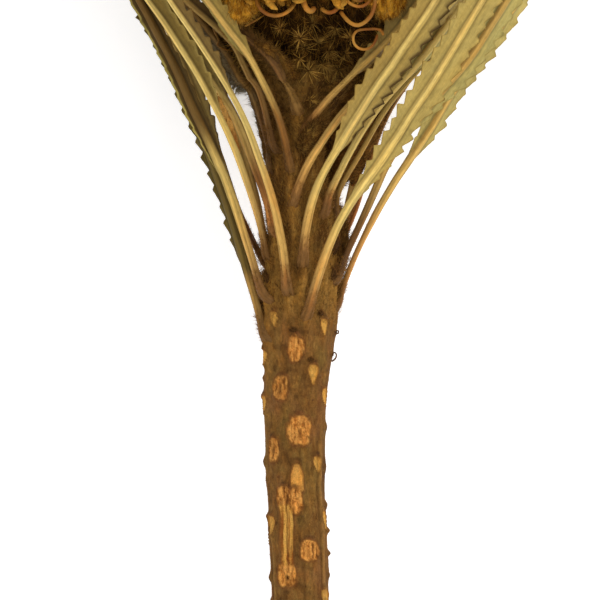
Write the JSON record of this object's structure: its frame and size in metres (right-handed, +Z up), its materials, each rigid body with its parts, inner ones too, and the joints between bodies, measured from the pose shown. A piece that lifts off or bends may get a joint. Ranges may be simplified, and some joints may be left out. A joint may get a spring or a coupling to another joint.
{
  "type": "dried banksia cone on a cut leafy stem",
  "caption": "Woolly dried banksia cone on a cut woody stem, ringed by long toothed leaves, lying on its side.",
  "frame": {"origin": "on the ground, under the middle of the object's box", "axes": "+Y along the stem from its cut end towards the cone, +X across the stem, +Z up from the ground that it lies on"},
  "size_m": [0.1319, 0.2623, 0.0857],
  "materials": {
    "bark": "dull brown felted bark with orange and yellow leaf scars",
    "flowers": "dry woolly orange and brown flowers with curled styles",
    "dry_leaf": "dry matt olive straw leaf with a paler midrib",
    "dark_leaf": "dry matt dark olive brown leaf with a paler midrib",
    "hairy_leaf": "dry brown leaf with a hairy stalk and edges"
  },
  "bodies": {
    "root": {"stem": "bark", "flower_spike": "flowers", "leaf_01": "dark_leaf", "leaf_02": "dark_leaf", "leaf_03": "dry_leaf", "leaf_04": "dry_leaf", "leaf_05": "dry_leaf", "leaf_06": "hairy_leaf", "leaf_07": "dry_leaf", "leaf_08": "hairy_leaf", "leaf_09": "dry_leaf", "leaf_10": "dark_leaf", "leaf_11": "dry_leaf", "leaf_12": "dry_leaf", "leaf_13": "dry_leaf", "leaf_14": "dry_leaf", "leaf_15": "dry_leaf", "leaf_16": "dry_leaf", "leaf_17": "dry_leaf", "leaf_18": "dark_leaf", "leaf_19": "dry_leaf", "leaf_20": "dark_leaf", "leaf_21": "dark_leaf", "leaf_22": "dark_leaf", "leaf_23": "dark_leaf", "leaf_24": "dark_leaf", "leaf_25": "dark_leaf", "leaf_26": "dark_leaf"}
  },
  "joints": []
}
